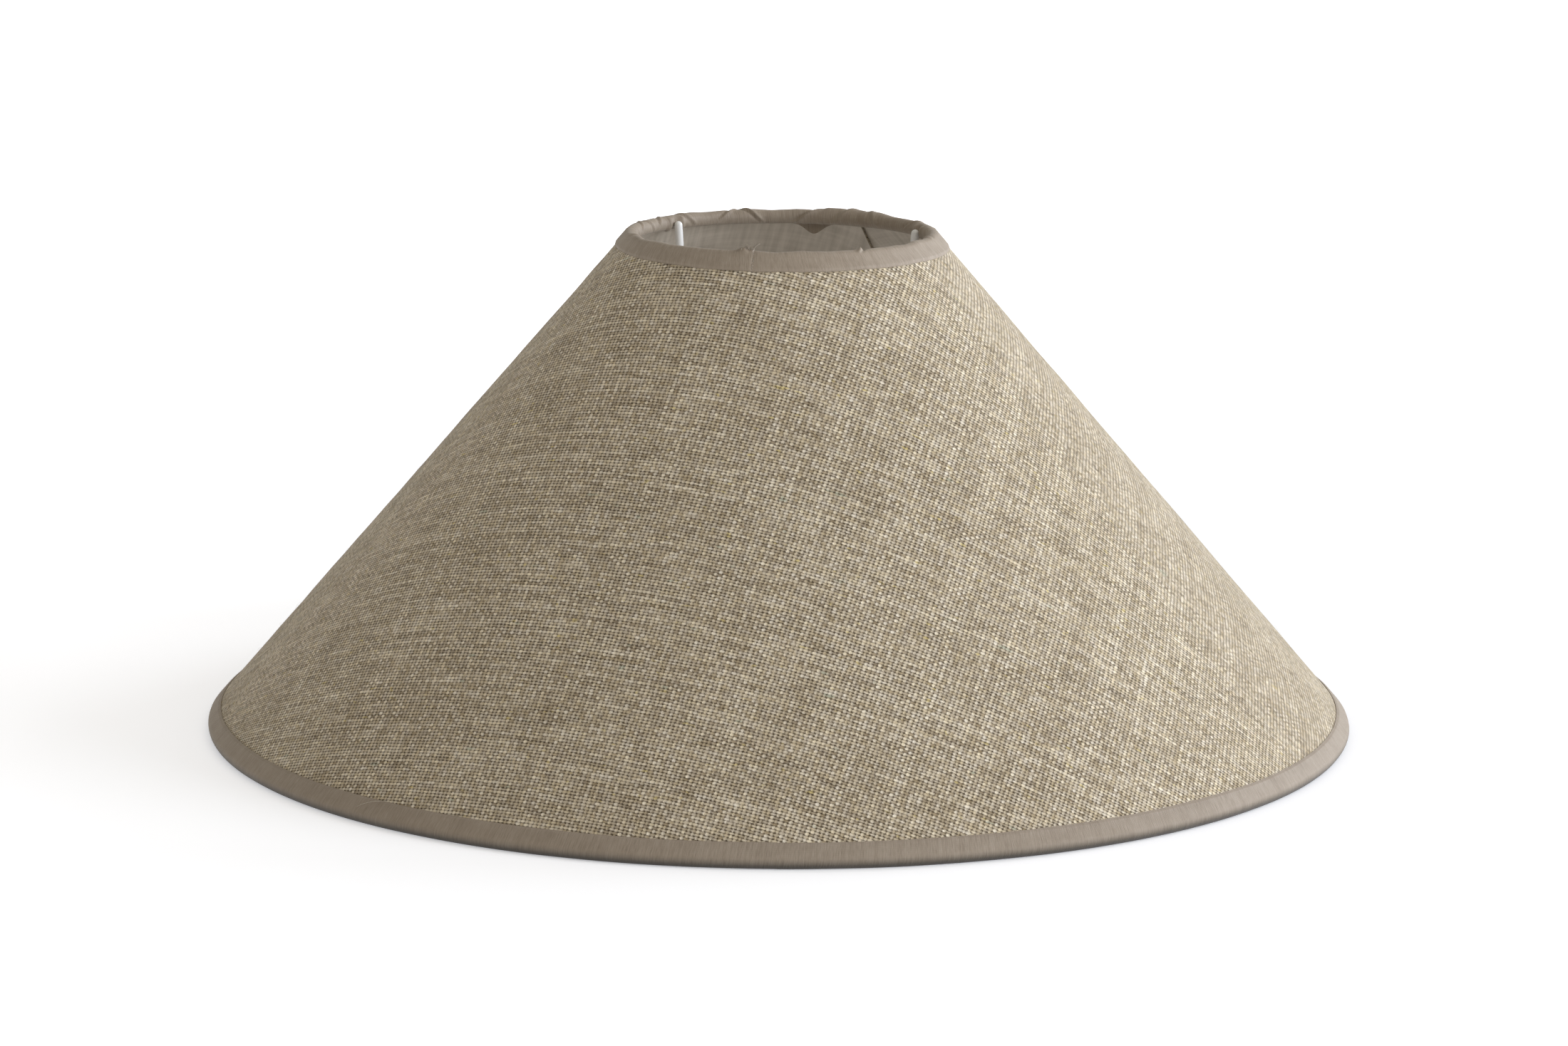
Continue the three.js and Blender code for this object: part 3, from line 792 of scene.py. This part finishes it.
def makeRings():
    material = steelMaterial()
    rings = (("topWire", "top_ring", topCore), ("bottomWire", "bottom_ring", bottomCore))
    for name, node, core in rings:
        centre = sectionPoint(core, 0, -fitter["ringInset"])
        azimuth = np.arange(240)[:, None] * 1.5
        turn = np.radians(np.arange(20)[None] * 18)
        radius = centre[0] + shade["wire"] / 2 * np.cos(turn) + 0 * azimuth
        height = centre[1] + shade["wire"] / 2 * np.sin(turn) + 0 * azimuth
        azimuths = azimuth + 0 * turn
        cut = np.stack([np.radians(azimuths) * core[0], turn * shade["wire"] / 2 + 0 * azimuth], axis=-1)
        points = toPoints(azimuths, radius, height)
        length = 2 * np.pi * core[0]
        ring = gridMesh(name, points, closeAcross=True, closeAlong=True, uv=cut, around=length)
        finishPiece(ring, material, "ring_wire", node)


def armPath():
    # centre line in its own plane, as radius and height: down past the ring, round the bend and in to the
    # bore
    lean = radians(fitter["lean"])
    ring = sectionPoint(topCore, 0, -fitter["ringInset"])
    beside = (shade["wire"] / 2 + fitter["gap"] + fitter["wire"] / 2) / np.cos(lean)
    topRadius = ring[0] - beside + (fitter["topLevel"] - ring[1]) * np.tan(lean)
    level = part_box("fitter_ring")[1].z + fitter["gap"] + fitter["wire"] / 2
    turn = np.pi / 2 - lean
    tangent = fitter["bend"] * np.tan(turn / 2)
    cornerRadius = topRadius - (fitter["topLevel"] - level) * np.tan(lean)
    start = np.array([cornerRadius + tangent * np.sin(lean), level + tangent * np.cos(lean)])
    swing = np.linspace(0, turn, 12)[1:]
    centre = start + fitter["bend"] * np.array([-np.cos(lean), np.sin(lean)])
    arc = np.array([np.cos(lean + swing), -np.sin(lean + swing)])
    bendPoints = centre[:, None] + fitter["bend"] * arc
    upright = np.linspace(0, 1, 8)[:, None]
    straight = np.array([topRadius, fitter["topLevel"]]) * (1 - upright) + start * upright
    inward = np.linspace(0, 1, 9)[1:, None]
    end = bendPoints[:, -1]
    toBore = end * (1 - inward) + np.array([fitter["innerEnd"], end[1]]) * inward
    return np.vstack([straight, bendPoints.T, toBore])


def roundEnded(path, radius, steps=6):
    # adds the rows of a rounded end at both ends of a path, with the radius of each row
    turn = np.linspace(np.pi / 2, 0, steps)[:, None]
    first, last = path[0] - path[1], path[-1] - path[-2]
    first, last = first / np.linalg.norm(first), last / np.linalg.norm(last)
    head = path[0] - radius * first + radius * first * np.sin(turn)
    tail = (path[-1] - radius * last + radius * last * np.sin(turn))[::-1]
    rows = np.vstack([head, path[1:-1], tail])
    caps = radius * np.maximum(np.cos(turn[:, 0]), 0.02)
    return rows, np.concatenate([caps, np.full(len(path) - 2, radius), caps[::-1]])


def makeArms():
    material = coatMaterial()
    rows, radii = roundEnded(armPath(), fitter["wire"] / 2)
    heading = np.gradient(rows, axis=0)
    heading /= np.linalg.norm(heading, axis=1)[:, None]
    turn = np.radians(np.arange(24) * 15)[None]
    inPlane = radii[:, None] * np.cos(turn)
    aside = radii[:, None] * np.sin(turn)
    radius = rows[:, :1] - heading[:, 1:] * inPlane
    height = rows[:, 1:] + heading[:, :1] * inPlane
    for number, azimuth in enumerate(armAzimuths, 1):
        a = radians(azimuth)
        x = radius * np.sin(a) + aside * np.cos(a)
        y = -radius * np.cos(a) + aside * np.sin(a)
        points = np.stack([x, y, height], axis=-1)
        arm = gridMesh(f"fitterArm{number}", points, closeAcross=True, capEnds=True)
        finishPiece(arm, material, "white_coating", f"fitter_arm_{number}")
    makeFitterRing(material)
    makeWelds(material)


def makeFitterRing(material):
    # a flat ring: a rectangle with rounded corners, carried round the axis
    low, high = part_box("fitter_ring")
    outerRadius, bore, corner = high.x, fitter["bore"], fitter["edgeRound"]
    turn = np.radians(np.arange(0, 360, 15) + 7.5)
    middle, half = (outerRadius + bore) / 2, (outerRadius - bore) / 2 - corner
    section = np.cos(turn) * corner + np.sign(np.cos(turn)) * half
    level = (low.z + high.z) / 2
    tall = (high.z - low.z) / 2 - corner
    azimuth = np.arange(180)[:, None] * 2.0
    radius = middle + section[None] + 0 * azimuth
    height = level + (np.sin(turn) * corner + np.sign(np.sin(turn)) * tall)[None] + 0 * azimuth
    points = toPoints(azimuth + 0 * radius, radius, height)
    ring = gridMesh("fitterRing", points, closeAcross=True, closeAlong=True)
    finishPiece(ring, material, "white_coating", "fitter_ring")


def makeWelds(material):
    # a low bead of weld under each arm where it lies on the ring: an oval dome round the arm's line
    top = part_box("fitter_ring")[1].z
    swell = np.linspace(0, np.pi / 2, 7)[:, None]
    turn = np.radians(np.arange(20)[None] * 18)
    for number, azimuth in enumerate(armAzimuths, 1):
        a = radians(azimuth)
        r = weld["radius"] + weld["halfLength"] * np.cos(swell) * np.cos(turn)
        w = weld["halfWidth"] * np.cos(swell) * np.sin(turn)
        z = top - weld["sunk"] + weld["height"] * np.sin(swell) + 0 * turn
        points = np.stack([r * np.sin(a) + w * np.cos(a), -r * np.cos(a) + w * np.sin(a), z], axis=-1)
        bead = gridMesh(f"weld{number}", points[:, ::-1], closeAcross=True, capEnds=True)
        finishPiece(bead, material, "white_coating")


# stray fibres and loose threads
fibres = {
    "count": 520, "length": (0.0012, 0.0048), "thickness": (0.000020, 0.000038), "lift": 0.0009,
    "clear": 0.00005, "tones": ((0.50, 0.43, 0.31), (0.78, 0.72, 0.58)),
}


def fibreMaterial(name, low, high):
    n = Nodes(name)
    spots = n.noise(n.object(), 220, 2)
    return n.finish(Base_Color=n.ramp(spots, (0.35, low), (0.65, high)), Roughness=0.75, Sheen_Weight=0.3)


def hairMesh(name, paths, thickness):
    # each path is a row of points; three sides round it, tapering to both ends, and a small cap at each end
    count, steps = paths.shape[:2]
    heading = np.gradient(paths, axis=1)
    heading /= np.linalg.norm(heading, axis=2, keepdims=True)
    aside = np.cross(heading, np.array([0.31, 0.22, 0.93]))
    aside /= np.linalg.norm(aside, axis=2, keepdims=True)
    over = np.cross(heading, aside)
    taper = 0.35 + 0.65 * np.sin(np.linspace(0.15, 0.95, steps) * np.pi)
    turn = np.arange(3) * 2 * np.pi / 3
    around = aside[:, :, None] * np.cos(turn)[:, None] + over[:, :, None] * np.sin(turn)[:, None]
    points = paths[:, :, None] + around * (thickness[:, None] * taper)[:, :, None, None]
    index = np.arange(count * steps * 3).reshape(count, steps, 3)
    after = np.roll(index, -1, axis=2)
    quads = np.stack([index[:, :-1], after[:, :-1], after[:, 1:], index[:, 1:]], axis=-1).reshape(-1, 4)
    faces = quads.tolist() + index[:, 0, ::-1].tolist() + index[:, -1].tolist()
    mesh = bpy.data.meshes.new(name)
    mesh.from_pydata(points.reshape(-1, 3), [], faces)
    mesh.validate()
    mesh.shade_smooth()
    return linked(name, mesh)


def makeFibres():
    # short hairs that curl out of the linen: a start on the wall, a heading in it, a bow sideways and a
    # bow out
    random = np.random.default_rng(31)
    count = fibres["count"]
    azimuth = random.uniform(-180, 180, count)
    along = slopeLength * np.sqrt(random.uniform(0.02, 0.93, count))
    length = random.uniform(*fibres["length"], count)
    heading = random.uniform(0, 2 * np.pi, count)
    bow = random.uniform(-0.5, 0.5, count)
    lift = fibres["lift"] * random.uniform(0.2, 1.0, count)
    t = np.linspace(0, 1, 7)[None]
    forward = length[:, None] * t
    sideways = length[:, None] * bow[:, None] * t * t
    c, q = np.cos(heading)[:, None], np.sin(heading)[:, None]
    alongs = along[:, None] + forward * c - sideways * q
    radius = topCore[0] + alongs * down[0]
    azimuths = azimuth[:, None] + np.degrees((forward * q + sideways * c) / radius)
    wall = shade["edgeHalf"] + seamRise(np.mod(azimuths - shade["seamAzimuth"], 360))
    outs = wall + lift[:, None] * np.sin(t * np.pi * 0.8) + fibres["clear"]
    paths = toPoints(azimuths, *sectionPoint(topCore, alongs, outs))
    piece = hairMesh("strayFibres", paths, random.uniform(*fibres["thickness"], count))
    finishPiece(piece, fibreMaterial("flaxFibre", *fibres["tones"]), "linen")


# loose threads that lie on the wall: azimuth, distance up from the lower core, height off the linen
looseThreads = [
    [(-43.2, 0.0012, 0.0012), (-42.0, 0.0046, 0.0016), (-40.4, 0.0066, 0.0016), (-37.0, 0.0066, 0.0013)],
    [(-35.6, 0.0080, 0.0003), (-34.9, 0.0108, 0.0012), (-34.2, 0.0124, 0.0014), (-33.8, 0.0090, 0.0004)],
    [(-27.6, 0.0285, 0.0003), (-28.2, 0.0305, 0.0013), (-27.9, 0.0330, 0.0012), (-27.0, 0.0338, 0.0003)],
    [(-6.2, 0.0068, 0.0003), (-5.4, 0.0098, 0.0013), (-5.0, 0.0090, 0.0016), (-5.0, 0.0062, 0.0004)],
    [(-2.5, 0.2060, 0.0003), (-1.6, 0.2075, 0.0012), (-0.9, 0.2050, 0.0014), (-1.2, 0.2020, 0.0003)],
    [(57.0, 0.0300, 0.0003), (57.7, 0.0325, 0.0013), (58.8, 0.0320, 0.0012), (59.2, 0.0290, 0.0003)],
    [(120.0, 0.0100, 0.0003), (121.5, 0.0140, 0.0018), (123.0, 0.0130, 0.0018), (124.0, 0.0080, 0.0004)],
    [(-128.0, 0.06, 0.0003), (-127.0, 0.064, 0.0015), (-125.5, 0.064, 0.0013), (-125.0, 0.06, 0.0003)],
]
threadLook = {"thickness": 0.00006, "tones": ((0.55, 0.49, 0.37), (0.80, 0.75, 0.63))}
frayedEnd = {
    "foot": 0.1955, "stand": 0.0008, "scatter": 0.0004, "spread": 0.0006, "fuzzThin": 0.6,
    "tones": ((0.30, 0.25, 0.19), (0.50, 0.44, 0.36)),
    "count": 64, "azimuth": (-16.4, -9.8), "length": (0.0009, 0.0040), "thickness": (0.00007, 0.00013),
    "fuzzCount": 30, "fuzzAlong": (-0.0008, 0.0066), "fuzzLength": (0.0004, 0.0015),
}


def bezier(control, t):  # four points, joined by a cubic
    a, b, c, d = control
    return a * (1 - t) ** 3 + 3 * b * t * (1 - t) ** 2 + 3 * c * t * t * (1 - t) + d * t ** 3


def makeThreads():
    t = np.linspace(0, 1, 18)[:, None]
    lines = np.stack([bezier(np.array(points)[:, None, :], t) for points in looseThreads])
    azimuths, alongs, outs = lines[..., 0], slopeLength - lines[..., 1], shade["edgeHalf"] + lines[..., 2]
    paths = toPoints(azimuths, *sectionPoint(topCore, alongs, outs))
    piece = hairMesh("looseThreads", paths, np.full(len(lines), threadLook["thickness"]))
    finishPiece(piece, fibreMaterial("flaxThread", *threadLook["tones"]), "linen")


def makeFrayedEnd():
    # the cut end of the top tape: threads that stand up from the fold, longest at the end
    random = np.random.default_rng(47)
    count = frayedEnd["count"]
    azimuth = np.sort(random.uniform(*frayedEnd["azimuth"], count))
    first, last = frayedEnd["azimuth"]
    shortest, longest = frayedEnd["length"]
    closeness = (azimuth - first) / (last - first)
    length = shortest + (longest - shortest) * closeness ** 2
    length = length * random.uniform(0.35, 1.0, count)
    sway = random.normal(0, 0.6, count)
    t = np.linspace(0, 1, 9)[None]
    azimuths = azimuth[:, None] + np.degrees(length[:, None] * sway[:, None] * t ** 1.6 / topCore[0])
    scatter = random.normal(0, frayedEnd["scatter"], count)[:, None]
    radius = topCore[0] + frayedEnd["stand"] + scatter + frayedEnd["spread"] * t * sway[:, None]
    height = frayedEnd["foot"] + length[:, None] * t * (1 - 0.2 * t)
    standing = toPoints(azimuths, radius, height)

    # and short fuzz that points away from the cut edge, all the way down the leg
    fuzz = frayedEnd["fuzzCount"]
    start = random.uniform(*frayedEnd["fuzzAlong"], fuzz)[:, None]
    reach = random.uniform(*frayedEnd["fuzzLength"], fuzz)[:, None]
    alongs = start + reach * random.normal(0, 0.6, fuzz)[:, None] * t ** 1.5
    azimuths = tapes["top"]["joinAzimuth"] - 0.2 + np.degrees(reach * t / (topCore[0] + alongs * down[0]))
    outs = shade["tapeRound"] - 0.0001 + frayedEnd["spread"] * random.uniform(0, 1, fuzz)[:, None] * t
    lying = toPoints(azimuths, *sectionPoint(topCore, alongs, outs))
    thickness = random.uniform(*frayedEnd["thickness"], count + fuzz)
    thickness[count:] *= frayedEnd["fuzzThin"]
    piece = hairMesh("frayedThreads", np.vstack([standing, lying]), thickness)
    finishPiece(piece, fibreMaterial("tapeThread", *frayedEnd["tones"]), "edging_tape")


# run
setCamera()
setLights()
setFloor()
makeLinen()
makeLiner()
makeTapes()
makeSeamTape()
makeRings()
makeArms()
makeFibres()
makeThreads()
makeFrayedEnd()
